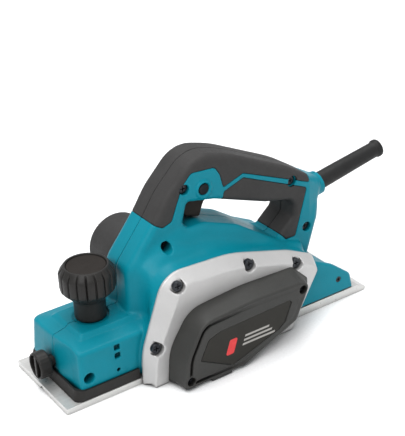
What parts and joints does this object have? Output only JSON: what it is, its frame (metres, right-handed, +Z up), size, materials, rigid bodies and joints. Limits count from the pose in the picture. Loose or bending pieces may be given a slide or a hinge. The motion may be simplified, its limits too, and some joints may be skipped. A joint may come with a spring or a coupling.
{
  "type": "electric hand planer",
  "caption": "Corded hand planer with a teal housing, a soft-grip handle loop, a front depth knob, and a side belt cover.",
  "frame": {"origin": "the middle of the sole's footprint, on the rear sole's plane", "axes": "+X to the back of the machine (cord), +Y to the chip outlet side, +Z up"},
  "size_m": [0.3471, 0.135, 0.1617],
  "materials": {
    "teal_plastic": "satin moulded",
    "soft_grip": "fine matt overmould",
    "cast_aluminium": "die cast, blasted",
    "sole_aluminium": "machined",
    "black_plastic": "fine texture",
    "dark_steel": "blackened",
    "machined_steel": "turned",
    "pulley_aluminium": "turned",
    "brass": "plain",
    "carbon": "matt",
    "belt_rubber": "ribbed",
    "guard_rubber": "matt"
  },
  "bodies": {
    "planer": {"housing_left": "teal_plastic", "housing_right": "teal_plastic", "grip_upper_left": "soft_grip", "grip_upper_right": "soft_grip", "grip_lower_left": "soft_grip", "grip_lower_right": "soft_grip", "frame_casting": "cast_aluminium", "frame_screws": "dark_steel", "belt_cover": "black_plastic", "belt_cover_screws": "dark_steel", "badge_plate": "black_plastic", "drive_belt": "belt_rubber", "rear_base": "sole_aluminium", "rear_base_screws": "dark_steel", "housing_screws": "dark_steel", "tail_screws": "dark_steel", "bearing_plate": "cast_aluminium", "bearing_plate_screws": "dark_steel", "drum_bearings": "machined_steel", "motor_bearings": "machined_steel", "stator_core": "machined_steel", "field_coils": "brass", "fan_baffle": "black_plastic", "carbon_brushes": "carbon", "brush_holders": "brass", "switch_body": "black_plastic", "trigger_pin": "machined_steel", "depth_screw_bush": "brass", "base_spring": "machined_steel", "cord_guard": "guard_rubber", "cord_clamp": "black_plastic", "cord_clamp_screws": "dark_steel", "chip_nozzle": "black_plastic"},
    "front_sole": {"front_base": "sole_aluminium", "front_base_skirt": "black_plastic"},
    "depth_adjuster": {"depth_knob": "black_plastic", "depth_knob_cap": "black_plastic", "depth_screw": "machined_steel"},
    "guide_clamp": {"guide_clamp_knob": "black_plastic", "guide_clamp_screw": "dark_steel"},
    "drum": {"cutter_drum": "machined_steel", "planer_blades": "machined_steel", "blade_clamps": "machined_steel", "blade_bolts": "dark_steel", "drum_pulley": "pulley_aluminium", "drum_pulley_nut": "machined_steel"},
    "armature": {"motor_shaft": "machined_steel", "armature_core": "machined_steel", "armature_windings": "brass", "commutator": "brass", "cooling_fan": "black_plastic", "motor_pulley": "pulley_aluminium", "motor_pulley_nut": "machined_steel"},
    "switch_trigger": {"trigger": "black_plastic"},
    "switch_lock": {"lock_off_button": "black_plastic"}
  },
  "joints": [
    {"name": "depth_knob_turn", "type": "hinge", "parent": "planer", "child": "depth_adjuster", "pos_m": [-0.09935, 0, 0.075], "axis": [0, 0, 1], "range_deg": [0, 360]},
    {"name": "front_base_slide", "type": "slide", "parent": "planer", "child": "front_sole", "axis": [0, 0, 1], "range_m": [0, 0.002], "deforming": ["base_spring"]},
    {"name": "guide_clamp_turn", "type": "hinge", "parent": "planer", "child": "guide_clamp", "pos_m": [-0.146, 0.0025, 0.0213], "axis": [-1, 0, 0], "range_deg": [0, 360]},
    {"name": "drum_spin", "type": "hinge", "parent": "planer", "child": "drum", "pos_m": [-0.032, 0, 0.0285], "axis": [0, 1, 0], "continuous": true},
    {"name": "armature_spin", "type": "hinge", "parent": "planer", "child": "armature", "pos_m": [0.033, 0, 0.039], "axis": [0, 1, 0], "continuous": true},
    {"name": "trigger_pull", "type": "hinge", "parent": "planer", "child": "switch_trigger", "pos_m": [-0.017, 0, 0.13], "axis": [0, -1, 0], "range_deg": [0, 9], "stiffness_Nm_per_rad": 0.4, "springref_deg": -8.59},
    {"name": "lock_off_press", "type": "slide", "parent": "planer", "child": "switch_lock", "axis": [0, 1, 0], "range_m": [0, 0.0025], "stiffness_N_per_m": 200, "springref_m": -0.002}
  ],
  "couplings": [
    {"joint": "depth_knob_turn", "follows": "front_base_slide", "rad_per_m": 3141.6},
    {"joint": "armature_spin", "follows": "drum_spin", "ratio": 1.7}
  ]
}
